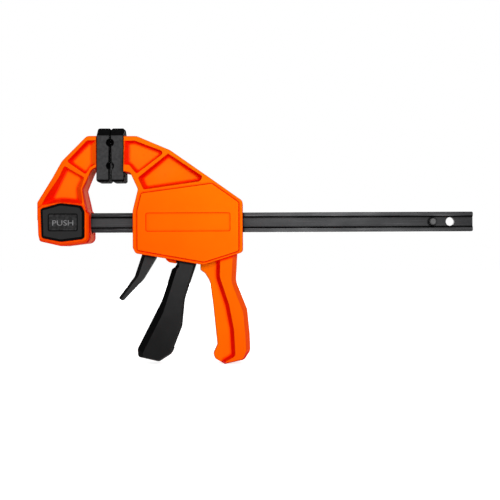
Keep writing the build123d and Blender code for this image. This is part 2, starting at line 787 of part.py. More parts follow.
with BuildPart() as casing:
    slab(case_outline, case_half_depth)
    limit_depth(case_half_depth, arm_half_depth, case_flare_low, case_flare_high)
    fillet(rim(casing).filter_by(lambda edge: edge.center().X > case_outline[0][0] + seat_gap), outer_round)
    spigot(1, case_half_depth)
    add(grip.part)
    # The grip's rounded edges are filled out again under the band, which starts from its flat face
    slab(band_foot, grip_half_depth)
    slab(lug_outline, lug_half_depth)
    for side in (1, -1):
        with BuildSketch(Plane.XZ.offset(side * grip_half_depth)):
            rounded_outline(band_foot)
        with BuildSketch(Plane.XZ.offset(side * (grip_half_depth + band_rise))):
            rounded_outline(band_face)
        loft(ruled=True)
        with BuildSketch(Plane.XZ.offset(side * case_half_depth)):
            rounded_outline(panel_outline)
        extrude(amount=side * panel_rise, taper=panel_draft)
        plaque_plane = Plane.XZ.offset(side * (case_half_depth + panel_rise))
        plaque_middle = (plaque_x, 0)
        block(
            plaque_plane,
            plaque_width,
            plaque_height,
            -side * plaque_depth,
            plaque_middle,
            plaque_corner,
            Mode.SUBTRACT,
        )
        pocket(moving_upper_pocket, moving_upper_walls, arm_half_depth + upper_mouth_rise, side)
        pocket(moving_lower_pocket, moving_lower_walls, lower_mouth, side)
    pad_ramp(1, moving_ramp, moving_upper_pocket[-1][1], moving_upper_pocket[0][1])
    # Hollows inside
    slab(case_cavity, case_cavity_half_depth, Mode.SUBTRACT)
    slab(arm_cavity, arm_cavity_half_depth, Mode.SUBTRACT)
    slab(grip_cavity, grip_cavity_half_depth, Mode.SUBTRACT)
    # Screw columns and the bosses that stand in the rear pockets
    well_radius = screw_head_radius + body_gap
    for x, z, depth, seat in screw_places:
        across(x, z, screw_column, -depth, depth)
        if depth > seat:
            across(x, z, well_radius + screw_well_wall, seat - screw_seat_floor, depth)
    for x, z, depth, _ in pocket_bosses:
        across(x, z, well_radius + screw_well_wall, depth, pocket_boss_top)
    # Rib between brake spring and trigger
    block(Plane.YZ.offset(rib_x), 2 * case_cavity_half_depth, 2 * rib_half_height, rib_thickness)
    # Seat for the brake plate's rounded end, open downwards
    seat_low = brake_z - brake_seat_drop
    seat_plane = Plane.XZ.offset(-case_cavity_half_depth)
    seat_depth = 2 * case_cavity_half_depth
    seat_groove = brake_thickness + body_gap
    block(
        seat_plane,
        brake_seat_width,
        brake_seat_height,
        seat_depth,
        (brake_x, seat_low + brake_seat_height / 2),
    )
    across(
        brake_x,
        brake_z,
        seat_groove / 2,
        -case_cavity_half_depth,
        case_cavity_half_depth,
        Mode.SUBTRACT,
    )
    block(
        seat_plane,
        seat_groove,
        2 * brake_seat_drop,
        seat_depth,
        (brake_x, brake_z - brake_seat_drop),
        mode=Mode.SUBTRACT,
    )
    # Bosses for the trigger pin
    for side in (1, -1):
        boss_start = side * (trigger_half_depth + body_gap)
        across(pivot_x, pivot_z, pivot_radius + pin_boss_wall, boss_start, side * case_half_depth)
    across(pivot_x, pivot_z, pivot_radius, -pivot_half_length, pivot_half_length, Mode.SUBTRACT)
    # Ways out: the bar, the guides in both end walls, the release lever and the trigger
    bar_slot(case_left - 1, case_right + 1, slide_fit + body_gap)
    for wall_face, inward in ((case_left, 1), (case_right, -1)):
        window = Plane.YZ.offset(wall_face - inward)
        block(window, guide_width, guide_height, inward * (case_wall + 1), mode=Mode.SUBTRACT)
    floor_plane = Plane.XY.offset(slot_low)
    lever_way = 2 * (lever_half_depth + 2 * body_gap)
    lever_middle = ((lever_slot_left + lever_slot_right) / 2, 0)
    block(
        floor_plane,
        lever_slot_right - lever_slot_left,
        lever_way,
        slot_high - slot_low,
        lever_middle,
        mode=Mode.SUBTRACT,
    )
    trigger_way = 2 * trigger_half_depth + 3 * body_gap
    with BuildSketch(floor_plane) as trigger_opening:
        with Locations((trigger_slot_left, 0)):
            Rectangle(trigger_slot_right - trigger_slot_left, trigger_way, align=(Align.MIN, Align.CENTER))
        # Between the grip's neck and the outer walls only the trigger's cheeks pass
        with Locations((trigger_slot_grip, 0)):
            Rectangle(
                trigger_slot_right - trigger_slot_grip,
                2 * grip_half_depth,
                align=(Align.MIN, Align.CENTER),
                mode=Mode.SUBTRACT,
            )
    extrude(amount=slot_high - slot_low, mode=Mode.SUBTRACT)
    # Screw holes: head wells and clearance at the back, pilot holes at the front
    for x, z, _, seat in screw_places:
        across(x, z, well_radius, seat, case_half_depth + 2, Mode.SUBTRACT)
        across(x, z, screw_radius, seat - screw_length, seat, Mode.SUBTRACT)

with BuildPart() as front_shell:
    add(casing.part)
    split(bisect_by=Plane.XZ, keep=Keep.TOP)
save(front_shell, "front_shell")

with BuildPart() as rear_shell:
    add(casing.part)
    split(bisect_by=Plane.XZ, keep=Keep.BOTTOM)
save(rear_shell, "rear_shell")

with BuildPart() as casing_screws:
    for x, z, _, seat in screw_places:
        crown = seat + screw_head_height
        across(x, z, screw_radius, seat - screw_length, seat)
        across(x, z, screw_head_radius, seat, crown)
        with BuildSketch(Plane.XZ.offset(-crown)):
            with Locations((x, z)):
                Rectangle(cross_length, cross_width)
                Rectangle(cross_width, cross_length)
        extrude(amount=cross_depth, mode=Mode.SUBTRACT)
save(casing_screws, "casing_screws")


# ---------------------------------------------------------------- bar guides
def guide(wall_face, inward):
    """A nylon frame round the bar: its body fills the end wall's window, its flange bears on the wall inside."""
    block(Plane.YZ.offset(wall_face), guide_width, guide_height, inward * case_wall)
    block(
        Plane.YZ.offset(wall_face + inward * case_wall),
        guide_width + 2 * guide_flange,
        guide_height + 2 * guide_flange,
        inward * guide_flange_thickness,
    )
    bar_slot(case_left - 1, case_right + 1, slide_fit)


with BuildPart() as front_guide:
    guide(case_left, 1)
save(front_guide, "front_guide")

with BuildPart() as rear_guide:
    guide(case_right, -1)
save(rear_guide, "rear_guide")

# ---------------------------------------------------------------- trigger and its pin
with BuildPart() as trigger:
    sloped_slab(trigger_outline, trigger_slopes, trigger_half_depth, trigger_slope_depth)
    across(pivot_x, pivot_z, hub_radius, -trigger_half_depth, trigger_half_depth)
    slab(channel_outline, trigger_inner, Mode.SUBTRACT)
    # Fork that straddles the bar
    fork_height = pivot_z + hub_radius - fork_bottom
    fork_middle = (pivot_x, fork_bottom + fork_height / 2)
    fork_plane = Plane.XZ.offset(-fork_half_gap)
    block(fork_plane, fork_length, fork_height, 2 * fork_half_gap, fork_middle, mode=Mode.SUBTRACT)
    across(
        pivot_x,
        pivot_z,
        pivot_radius + running_fit,
        -trigger_half_depth,
        trigger_half_depth,
        Mode.SUBTRACT,
    )
save(trigger, "trigger")

with BuildPart() as trigger_pin:
    across(pivot_x, pivot_z, pivot_radius, -pivot_half_length, pivot_half_length)
save(trigger_pin, "trigger_pin")

# ---------------------------------------------------------------- drive plates and spring
with BuildPart() as drive_plates:
    for number in range(plate_count):
        with BuildSketch(Plane.YZ.offset(drive_left + number * (plate_thickness + plate_gap))):
            RectangleRounded(plate_width, plate_height, plate_corner)
            Rectangle(plate_slot_width, plate_slot_height, mode=Mode.SUBTRACT)
        extrude(amount=plate_thickness)
save(drive_plates, "drive_plates")

drive_seat = case_right - case_wall - guide_flange_thickness
with BuildPart() as drive_spring:
    coil(
        (drive_right + seat_gap, 0, 0),
        drive_seat - drive_right - 2 * seat_gap,
        drive_spring_radius,
        drive_spring_wire,
        drive_spring_turns,
        (1, 0, 0),
    )
save(drive_spring, "drive_spring")

# ---------------------------------------------------------------- brake plate, spring and release lever
tilt = radians(brake_tilt)
brake_plane = Plane(origin=(brake_x, 0, brake_z), x_dir=(0, 1, 0), z_dir=(cos(tilt), 0, -sin(tilt)))

with BuildPart() as brake_plate:
    with BuildSketch(brake_plane):
        Rectangle(brake_width, brake_shoulder, align=(Align.CENTER, Align.MAX))
        Rectangle(brake_tail_width, brake_length, align=(Align.CENTER, Align.MAX))
        with Locations((0, -brake_z / cos(tilt))):
            Rectangle(plate_slot_width, brake_slot_height, mode=Mode.SUBTRACT)
    extrude(amount=brake_thickness / 2, both=True)
    across(brake_x, brake_z, brake_thickness / 2, -brake_width / 2, brake_width / 2)
save(brake_plate, "brake_plate")

with BuildPart() as release_lever:
    sloped_slab(lever_outline, lever_slopes, lever_half_depth, lever_slope_depth)
    with BuildSketch(brake_plane):
        Rectangle(brake_tail_width, brake_length, align=(Align.CENTER, Align.MAX))
    extrude(amount=brake_thickness / 2, both=True, mode=Mode.SUBTRACT)
save(release_lever, "release_lever")

with BuildPart() as brake_spring:
    coil(
        (brake_spring_left, 0, 0),
        rib_x - brake_spring_left - seat_gap,
        brake_spring_radius,
        brake_spring_wire,
        brake_spring_turns,
        (1, 0, 0),
    )
save(brake_spring, "brake_spring")
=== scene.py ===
import json
from math import radians, tan

import bmesh
import bpy
import numpy as np
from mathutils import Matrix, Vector


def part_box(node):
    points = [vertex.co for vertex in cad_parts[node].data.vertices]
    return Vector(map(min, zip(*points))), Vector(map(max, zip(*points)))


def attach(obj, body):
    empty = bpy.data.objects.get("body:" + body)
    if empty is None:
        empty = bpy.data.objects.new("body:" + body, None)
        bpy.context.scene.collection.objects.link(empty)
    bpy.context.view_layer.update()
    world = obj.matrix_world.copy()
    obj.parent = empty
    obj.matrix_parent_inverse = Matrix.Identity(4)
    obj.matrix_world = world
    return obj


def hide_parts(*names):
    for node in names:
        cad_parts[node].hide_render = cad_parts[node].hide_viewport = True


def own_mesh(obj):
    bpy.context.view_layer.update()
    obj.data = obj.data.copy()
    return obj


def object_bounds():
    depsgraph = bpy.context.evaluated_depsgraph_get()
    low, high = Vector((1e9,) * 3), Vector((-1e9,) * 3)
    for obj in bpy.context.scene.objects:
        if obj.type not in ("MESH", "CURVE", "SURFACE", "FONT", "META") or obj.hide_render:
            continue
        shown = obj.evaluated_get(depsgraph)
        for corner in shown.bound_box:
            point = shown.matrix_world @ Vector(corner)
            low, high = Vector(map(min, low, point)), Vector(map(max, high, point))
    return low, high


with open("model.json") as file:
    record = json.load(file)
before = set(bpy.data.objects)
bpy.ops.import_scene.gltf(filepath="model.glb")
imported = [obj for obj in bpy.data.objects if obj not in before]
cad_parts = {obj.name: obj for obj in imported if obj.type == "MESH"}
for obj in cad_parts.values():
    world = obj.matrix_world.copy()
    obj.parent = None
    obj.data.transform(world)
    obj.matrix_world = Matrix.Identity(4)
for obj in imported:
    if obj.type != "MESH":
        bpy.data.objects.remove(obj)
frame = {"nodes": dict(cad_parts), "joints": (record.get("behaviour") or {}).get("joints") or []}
cad_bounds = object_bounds()

# ---------------------------------------------------------------------------------------------
# Fixed jaw. One injection moulding in orange glass-filled nylon, with ribbed pockets on both
# faces. It slides over the bar's end and is held there by the button's lock pin.
# ---------------------------------------------------------------------------------------------
MM = 0.001
# painted light: the orange is lightest towards the casing's upper right and dimmest towards its lower left
orange_painted_lit = (1.0, 0.185, 0.001, 1)
orange_painted_dim = (1.0, 0.080, 0.0, 1)
# painted light on the pockets' floors
orange_floor_painted_light = (1.0, 0.20, 0.001, 1)
# painted shade on side walls and edges
orange_painted_side_shade = (0.86, 0.003, 0.0, 1)
orange_painted_corner_shade = (0.95, 0.008, 0.0, 1)  # painted shade in corners
orange_painted_reflection = (1.0, 0.15, 0.06, 1)  # painted reflection on walls near the parting plane
orange_rubbed = (1.0, 0.24, 0.002, 1)
orange_sheen = (1.0, 0.35, 0.04, 1)
painted_light_place = (0.055, 0.0, 0.055)  # where the painted light is brightest, towards the casing's upper right
# where the painted light is dimmest, towards the casing's lower left
painted_dim_place = (-0.03, 0.0, -0.03)
pocket_depths = (12.5 * MM, 7.5 * MM)  # from the parting plane, where the pockets' floors get painted light
reflection_depths = (7 * MM, 8 * MM)  # from the parting plane, where walls turn from painted reflection to painted side shade
grip_root = (-30 * MM, -20 * MM)  # heights between which the grip joins the casing
less_shade_walls_from = -45 * MM  # X from which the fixed jaw's left-facing walls get less painted shade
less_shade_blend = 4 * MM


def add(tree, kind, inputs=None, **settings):
    """One node of a material: settings are its own options, and each input is a value or an output."""
    made = tree.nodes.new(kind)
    for option, value in settings.items():
        setattr(made, option, value)
    for socket, value in (inputs or {}).items():
        if isinstance(value, bpy.types.NodeSocket):
            tree.links.new(value, made.inputs[socket])
        else:
            made.inputs[socket].default_value = value
    return made


def new_finish(name):
    """An empty node material with its object coordinates, which are metres in the clamp's own frame."""
    finish = bpy.data.materials.new(name)
    finish.use_nodes = True
    tree = finish.node_tree
    tree.nodes.clear()
    place = add(tree, "ShaderNodeTexCoord").outputs["Object"]
    return finish, tree, place


def noise(tree, place, scale, detail=3.0, stretch=(1, 1, 1), shift=(0, 0, 0)):
    """Noise with so many lumps to the metre, drawn out along an axis where stretch is below 1."""
    spread = add(tree, "ShaderNodeMapping", {"Vector": place, "Scale": stretch, "Location": shift})
    seen = {"Vector": spread.outputs[0], "Scale": scale, "Detail": detail}
    return add(tree, "ShaderNodeTexNoise", seen).outputs[0]


def ramp(tree, value, low, high, start=0.0, end=1.0):
    """start where value is at or below low, end where it is at or above high, and even between them."""
    ends = {"Value": value, "From Min": low, "From Max": high, "To Min": start, "To Max": end}
    return add(tree, "ShaderNodeMapRange", ends).outputs["Result"]


def blend_colour(tree, share, first, second):
    """first where share is 0 and second where it is 1."""
    return add(tree, "ShaderNodeMix", {0: share, 6: first, 7: second}, data_type="RGBA").outputs[2]


def combine(tree, operation, first, second):
    """Two values added, multiplied or compared, kept between 0 and 1."""
    both = add(tree, "ShaderNodeMath", {0: first, 1: second}, operation=operation, use_clamp=True)
    return both.outputs[0]


def close_finish(tree, colour, roughness, height, bump, inputs=None):
    """Joins a colour, a roughness and a height, whose full scale is bump metres, into the surface."""
    relief = add(tree, "ShaderNodeBump", {"Height": height, "Strength": 1.0, "Distance": bump})
    sockets = {"Base Color": colour, "Roughness": roughness, "Normal": relief.outputs[0]}
    surface = add(tree, "ShaderNodeBsdfPrincipled", {**sockets, **(inputs or {})})
    add(tree, "ShaderNodeOutputMaterial", {"Surface": surface.outputs[0]})


def open_edges(tree, reach):
    """1 on edges that stand out, and 0 on flat and hollow surfaces: where hands and benches rub, and where
    the orange gets painted shade.
    """
    edge = add(tree, "ShaderNodeAmbientOcclusion", {"Distance": reach}, samples=4, inside=True)
    return ramp(tree, edge.outputs["AO"], 0.75, 0.45)


def turned(tree, way):
    """The cosine of the angle between the surface's normal and a way."""
    normal = add(tree, "ShaderNodeNewGeometry").outputs["Normal"]
    sides = {0: normal, 1: Vector(way).normalized()}
    return add(tree, "ShaderNodeVectorMath", sides, operation="DOT_PRODUCT").outputs["Value"]


def facing(tree):
    """1 on faces parallel to the parting plane, down to 0 on side walls."""
    return add(tree, "ShaderNodeMath", {0: turned(tree, (0, 1, 0))}, operation="ABSOLUTE").outputs[0]


def painted_hollow_shade(tree, reach, low, high):
    """1 deep in corners and grooves narrower than reach, down to 0 on open surfaces: where shade is
    painted.
    """
    open_share = add(tree, "ShaderNodeAmbientOcclusion", {"Distance": reach}, samples=8).outputs["AO"]
    return ramp(tree, open_share, low, high, 1.0, 0.0)


def along(tree, place, start, end):
    """0 at start and 1 at end: the share of the way from one to the other, level across that way."""
    way = Vector(end) - Vector(start)
    moved = add(tree, "ShaderNodeVectorMath", {0: place, 1: start}, operation="SUBTRACT").outputs[0]
    sides = {0: moved, 1: way / way.length_squared}
    share = add(tree, "ShaderNodeVectorMath", sides, operation="DOT_PRODUCT").outputs["Value"]
    return ramp(tree, share, 0, 1)


def orange_moulding(name, less_shade_from):
    """Satin orange nylon, brighter by painted light towards the upper right and on the pockets' floors.
    Painted shade makes it red on side walls, edges and corners, less so on walls that face left past
    the given X; walls near the parting plane get a painted reflection, and scuffs are paler."""
    finish, tree, place = new_finish(name)
    sides = add(tree, "ShaderNodeSeparateXYZ", {0: place}).outputs
    depth = add(tree, "ShaderNodeMath", {0: sides["Y"]}, operation="ABSOLUTE").outputs[0]
    # painted light, from the lower left to the upper right
    painted_light_share = along(tree, place, painted_dim_place, painted_light_place)
    painted_light_faces = blend_colour(tree, painted_light_share, orange_painted_dim, orange_painted_lit)
    # painted light on the pockets' floors
    faces = blend_colour(tree, ramp(tree, depth, *pocket_depths, 0.0, 0.5), painted_light_faces, orange_floor_painted_light)
    # painted shade: side walls turn red above the grip and where they face down and left, less so on the
    # fixed jaw's walls that face left
    side_shade_share = ramp(tree, facing(tree), 0.58, 0.80, 1.0, 0.0)
    low_left = ramp(tree, turned(tree, (-1, 0, -1)), -0.5, -0.2, 0.5, 1.0)
    above_grip = ramp(tree, sides["Z"], *grip_root, 0.0, 0.9)
    leftward = ramp(tree, turned(tree, (-1, 0, 0)), 0.1, 0.35)
    beyond = ramp(tree, sides["X"], less_shade_from, less_shade_from + less_shade_blend)
    kept = ramp(tree, combine(tree, "MULTIPLY", leftward, beyond), 0, 1, 1.0, 0.4)
    reddest = combine(tree, "MULTIPLY", combine(tree, "MAXIMUM", above_grip, low_left), kept)
    red = combine(tree, "MULTIPLY", side_shade_share, reddest)
    cloud = ramp(tree, noise(tree, place, 45, 2.0), 0.35, 0.65, 0.0, 0.05)
    # painted reflection on walls near the parting plane, painted side shade on the others
    painted_wall_colour = blend_colour(tree, ramp(tree, depth, *reflection_depths), orange_painted_reflection, orange_painted_side_shade)
    walls = blend_colour(tree, combine(tree, "ADD", red, cloud), faces, painted_wall_colour)
    # painted shade in corners and grooves
    corners = painted_hollow_shade(tree, 2.6 * MM, 0.72, 0.99)
    body = blend_colour(tree, corners, walls, orange_painted_corner_shade)
    edges = open_edges(tree, 1.2 * MM)
    # painted shade on the edges that stand out
    edge_shaded = blend_colour(tree, combine(tree, "MULTIPLY", edges, 0.5), body, orange_painted_side_shade)
    scuffs = ramp(tree, noise(tree, place, 260), 0.45, 0.6, 0.0, 0.3)
    colour = blend_colour(tree, combine(tree, "MULTIPLY", edges, scuffs), edge_shaded, orange_rubbed)
    grain = noise(tree, place, 2600, 2.0)
    satin = ramp(tree, noise(tree, place, 700), 0.3, 0.7, 0.42, 0.54)
    satin = combine(tree, "ADD", satin, ramp(tree, facing(tree), 0.2, 0.5, 0.35, 0.0))
    sheen = {"Specular IOR Level": 0.08, "Specular Tint": orange_sheen}
    close_finish(tree, colour, satin, grain, 0.03 * MM, sheen)
    return finish


def refinish(node, finish):
    """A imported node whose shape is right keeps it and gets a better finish."""
    frame["nodes"][node].material_slots[0].material = finish


refinish("fixed_jaw", orange_moulding("orange_jaw", less_shade_walls_from))

# ---------------------------------------------------------------------------------------------
# Jaw pads. Two blocks of soft black rubber with crowned tops and two half-round notches in the
# front and in the back. They sit on the arms' spigots, dull and faintly mottled with handling.
# ---------------------------------------------------------------------------------------------
pad_edge = 0.7 * MM
round_from = radians(28)
flat_within = radians(0.7)
sharp_from = radians(34)
rubber_black = (0.043, 0.043, 0.044, 1)
rubber_bloom = (0.058, 0.058, 0.059, 1)
# painted shade on the pads' sides and crown
rubber_painted_shade = (0.001, 0.001, 0.0011, 1)


def softened(node, name, edge):
    """A copy of a packed moulding whose outer edges are rounded to a radius of edge. Its loose
    triangles are merged and the flat ones joined. Each convex edge that turns by more than
    round_from is rounded, and one beside a narrow face by less than half that face's width."""
    form = bmesh.new()
    form.from_mesh(frame["nodes"][node].data)
    bmesh.ops.remove_doubles(form, verts=form.verts, dist=1e-6)
    bmesh.ops.dissolve_limit(form, angle_limit=flat_within, verts=form.verts, edges=form.edges)
    weight = form.edges.layers.float.new("bevel_weight_edge")
    for line in form.edges:
        if len(line.link_faces) == 2 and line.is_convex and line.calc_face_angle() > round_from:
            narrowest = min(face.calc_area() for face in line.link_faces) / line.calc_length()
            line[weight] = min(1.0, 0.45 * narrowest / edge)
    many_sided = [face for face in form.faces if len(face.verts) > 4]
    bmesh.ops.triangulate(form, faces=many_sided)
    shape = bpy.data.meshes.new(name)
    form.to_mesh(shape)
    form.free()
    if "custom_normal" in shape.attributes:
        shape.attributes.remove(shape.attributes["custom_normal"])
    shape.materials.clear()
    piece = bpy.data.objects.new(name, shape)
    bpy.context.scene.collection.objects.link(piece)
    rounding = piece.modifiers.new("edge rounding", "BEVEL")
    rounding.limit_method = "WEIGHT"
    rounding.width = edge
    rounding.segments = 3
    rounding.use_clamp_overlap = False
    rounding.loop_slide = False
    bpy.context.view_layer.update()
    seen = piece.evaluated_get(bpy.context.evaluated_depsgraph_get())
    rounded = bpy.data.meshes.new_from_object(seen)
    piece.modifiers.clear()
    piece.data = rounded
    bpy.data.meshes.remove(shape)
    rounded.name = name
    rounded.shade_smooth()
    rounded.set_sharp_from_angle(angle=sharp_from)
    even = piece.modifiers.new("even shading", "WEIGHTED_NORMAL")
    even.keep_sharp = True
    return piece


def settle(piece, body, slot, finish, *nodes):
    """The piece gets its finish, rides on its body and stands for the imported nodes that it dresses."""
    piece.data.materials.clear()
    piece.data.materials.append(finish)
    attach(piece, body)
    if nodes:
        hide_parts(*nodes)


def pad_rubber():
    """Dull black rubber with a greyish bloom in small clouds and a fine open texture, and painted shade
    near black on its side walls, its crown and in its corners.
    """
    finish, tree, place = new_finish("pad_rubber")
    clouds = ramp(tree, noise(tree, place, 420, 4.0), 0.38, 0.62)
    faces = blend_colour(tree, clouds, rubber_black, rubber_bloom)
    # painted shade on side walls, the crown and in corners
    side_shade_share = ramp(tree, facing(tree), 0.86, 0.99, 1.0, 0.0)
    painted_dark = combine(tree, "MAXIMUM", side_shade_share, painted_hollow_shade(tree, 6 * MM, 0.5, 0.9))
    colour = blend_colour(tree, painted_dark, faces, rubber_painted_shade)
    pores = noise(tree, place, 1700, 3.0)
    dull = ramp(tree, noise(tree, place, 300), 0.3, 0.7, 0.62, 0.82)
    close_finish(tree, colour, dull, pores, 0.08 * MM, {"Specular IOR Level": 0.02})
    return finish


rubber = pad_rubber()
pads = (("fixed_pad", "fixed_rubber_pad", "bar"), ("moving_pad", "moving_rubber_pad", "moving_jaw"))
for node, name, body in pads:
    settle(softened(node, name, pad_edge), body, "black_rubber", rubber, node)

# ---------------------------------------------------------------------------------------------
# Release button. A six-sided black nylon cap; a plate with a raised word is clipped in its sunk
# field. Its lock pin crosses the bar, a washer and screw keep it in, and a spring pushes it out.
# ---------------------------------------------------------------------------------------------
label_floor = 0.6 * MM  # how deep the field lies under the button's face
label_size = (22.4 * MM, 12.7 * MM)  # of the plate in the field, which leaves 0.8 mm all round
label_corner = 1.0 * MM
label_thickness = 0.35 * MM
label_edge = 0.12 * MM
outline_points = 48  # round the plate, twelve to a corner
word_width = 16.8 * MM
word_height = 4.3 * MM
word_z = -0.4 * MM
word_rise = 0.12 * MM
button_middle = -36.8 * MM  # X, of the field and the word too
button_black = (0.0255, 0.0255, 0.0258, 1)
label_black = (0.0200, 0.0200, 0.0203, 1)
# painted shade on side walls and in corners
black_painted_shade = (0.0012, 0.0012, 0.0013, 1)
black_rubbed = (0.05, 0.05, 0.051, 1)
word_grey = (0.17, 0.17, 0.175, 1)
zinc = (0.62, 0.63, 0.65, 1)
zinc_dull = (0.44, 0.45, 0.46, 1)
wire_bright = (0.30, 0.31, 0.32, 1)
wire_dark = (0.17, 0.17, 0.18, 1)


def black_moulding(name, first, second, first_place, second_place, roughness=0.46):
    """Black nylon with the mould's fine grain, which goes evenly from its first shade at one place to
    its second at another, as painted light on the trigger and lever, blacker by painted shade on side
    walls and in corners, and rubbed greyer on open edges."""
    finish, tree, place = new_finish(name)
    cloud = ramp(tree, noise(tree, place, 90, 3.0), 0.35, 0.65, -0.08, 0.08)
    share = combine(tree, "ADD", along(tree, place, first_place, second_place), cloud)
    faces = blend_colour(tree, share, first, second)
    # painted shade on side walls and in corners
    side_shade_share = ramp(tree, facing(tree), 0.86, 0.985, 1.0, 0.0)
    painted_dark = combine(tree, "MAXIMUM", side_shade_share, painted_hollow_shade(tree, 2.2 * MM, 0.74, 0.98))
    body = blend_colour(tree, painted_dark, faces, black_painted_shade)
    scuffs = ramp(tree, noise(tree, place, 500), 0.4, 0.62, 0.0, 0.6)
    worn = combine(tree, "MULTIPLY", open_edges(tree, 0.8 * MM), scuffs)
    colour = blend_colour(tree, worn, body, black_rubbed)
    satin = ramp(tree, noise(tree, place, 900), 0.3, 0.7, roughness - 0.06, roughness + 0.08)
    grain = noise(tree, place, 2200, 3.0)
    close_finish(tree, colour, satin, grain, 0.04 * MM, {"Specular IOR Level": 0.02})
    return finish


def rounded_plate(name, size, corner, thickness, edge, place):
    """A flat plate on the plane Y at place, of that thickness towards -Y. Its outline is four quarter
    circles of radius corner about the points (+-(width / 2 - corner), +-(height / 2 - corner)), and
    edge bevels its front."""
    turns = np.linspace(0, 2 * np.pi, outline_points, endpoint=False) + np.pi / outline_points
    across, up = np.cos(turns), np.sin(turns)
    ways = np.stack([across, up], axis=1)
    middles = np.sign(ways) * (np.array(size) / 2 - corner)
    rings = [(corner, 0.0), (corner, edge - thickness), (corner - edge, -thickness)]
    depths = [np.full(outline_points, depth) for radius, depth in rings]
    flat = [np.column_stack([middles + radius * ways, depth]) for (radius, _), depth in zip(rings, depths)]
    points = np.concatenate(flat)[:, (0, 2, 1)] + place
    start = np.arange(outline_points)
    after = (start + 1) % outline_points
    wall = np.stack([start, after, after + outline_points, start + outline_points], axis=1)
    sides = np.concatenate([wall, wall + outline_points])
    faces = [list(start[::-1])] + sides.tolist() + [list(start + 2 * outline_points)]
    shape = bpy.data.meshes.new(name)
    shape.from_pydata(points.tolist(), [], faces)
    shape.update()
    piece = bpy.data.objects.new(name, shape)
    bpy.context.scene.collection.objects.link(piece)
    return piece


def raised_word(word, width, height, rise, place):
    """Plain raised letters that face -Y: the text's mesh, scaled to width and height about its
    middle, stood up at place and as far under it as over it."""
    letters = bpy.data.curves.new("button_word", "FONT")
    letters.body = word
    letters.align_x = "CENTER"
    letters.align_y = "CENTER"
    letters.extrude = 0.5
    letters.bevel_depth = 0.006
    letters.resolution_u = 6
    carrier = bpy.data.objects.new("button_word_text", letters)
    bpy.context.scene.collection.objects.link(carrier)
    bpy.context.view_layer.update()
    seen = carrier.evaluated_get(bpy.context.evaluated_depsgraph_get())
    shape = bpy.data.meshes.new_from_object(seen)
    bpy.data.objects.remove(carrier)
    points = np.zeros(len(shape.vertices) * 3, np.float32)
    shape.vertices.foreach_get("co", points)
    points = points.reshape(-1, 3)
    low, high = points.min(0), points.max(0)
    points = (points - (low + high) / 2) / (high - low) * (width, height, 2 * rise)
    placed = np.stack([points[:, 0], -points[:, 2], points[:, 1]], axis=1) + place
    shape.vertices.foreach_set("co", placed.astype(np.float32).ravel())
    shape.update()
    piece = bpy.data.objects.new("button_word", shape)
    bpy.context.scene.collection.objects.link(piece)
    return piece


def word_finish():
    """The same nylon on the letters' tops, rubbed grey by thumbs."""
    finish, tree, place = new_finish("rubbed_word")
    patches = ramp(tree, noise(tree, place, 700), 0.3, 0.7, 0.0, 0.6)
    colour = blend_colour(tree, patches, word_grey, black_rubbed)
    satin = ramp(tree, patches, 0, 1, 0.4, 0.55)
    close_finish(tree, colour, satin, noise(tree, place, 2200), 0.01 * MM)
    return finish


def zinc_plate():
    """Bright zinc on turned steel: fine turning lines, and duller clouds in the plating."""
    finish, tree, place = new_finish("zinc_plate")
    clouds = ramp(tree, noise(tree, place, 350, 4.0), 0.35, 0.65)
    colour = blend_colour(tree, clouds, zinc, zinc_dull)
    lines = noise(tree, place, 3000, 2.0, (1, 0.15, 1))
    polish = ramp(tree, noise(tree, place, 900), 0.3, 0.7, 0.24, 0.42)
    close_finish(tree, colour, polish, lines, 0.01 * MM, {"Metallic": 1.0})
    return finish


def spring_wire():
    """Oiled spring wire, darker in clouds where the oil has dried."""
    finish, tree, place = new_finish("spring_wire")
    clouds = ramp(tree, noise(tree, place, 500, 3.0), 0.35, 0.65)
    colour = blend_colour(tree, clouds, wire_bright, wire_dark)
    drawn = noise(tree, place, 4000, 2.0)
    polish = ramp(tree, clouds, 0, 1, 0.28, 0.42)
    close_finish(tree, colour, polish, drawn, 0.01 * MM, {"Metallic": 1.0})
    return finish


def shortened_spring(node, name, body, joint):
    """A merged copy of a packed spring, on the body that holds its fixed end."""
    form = bmesh.new()
    form.from_mesh(frame["nodes"][node].data)
    bmesh.ops.remove_doubles(form, verts=form.verts, dist=1e-6)
    shape = bpy.data.meshes.new(name)
    form.to_mesh(shape)
    form.free()
    if "custom_normal" in shape.attributes:
        shape.attributes.remove(shape.attributes["custom_normal"])
    shape.shade_smooth()
    piece = bpy.data.objects.new(name, shape)
    bpy.context.scene.collection.objects.link(piece)
    settle(piece, body, "spring_steel", wire, node)
    held = next(item for item in joint["deforming_nodes"] if item["node"] == node)
    side = held["mode"][-1]
    index = "xyz".index(side)
    low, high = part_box(node)
    way, anchor = Vector((0, 0, 0)), (low + high) / 2
    way[index], anchor[index] = 1, held[f"fixed_end_{side}_m"]
    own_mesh(piece)


joints = {joint["name"]: joint for joint in frame["joints"]}
metal = zinc_plate()
wire = spring_wire()
button_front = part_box("release_button")[0].y
floor_place = (button_middle, button_front + label_floor, 0)
face_place = (button_middle, button_front, 0)
nylon = black_moulding("black_button", button_black, button_black, face_place, floor_place)
refinish("release_button", nylon)
label = rounded_plate("button_label", label_size, label_corner, label_thickness, label_edge, floor_place)
nylon = black_moulding("black_label", label_black, label_black, face_place, floor_place)
settle(label, "button", "black_plastic", nylon)
word_place = (button_middle, button_front + label_floor - label_thickness, word_z)
word = raised_word("PUSH", word_width, word_height, word_rise, word_place)
settle(word, "button", "black_plastic", word_finish())
for node in ("lock_pin", "button_washer", "button_screw"):
    refinish(node, metal)
push = joints["button_push"]
shortened_spring("button_spring", "button_coil_spring", "bar", push)

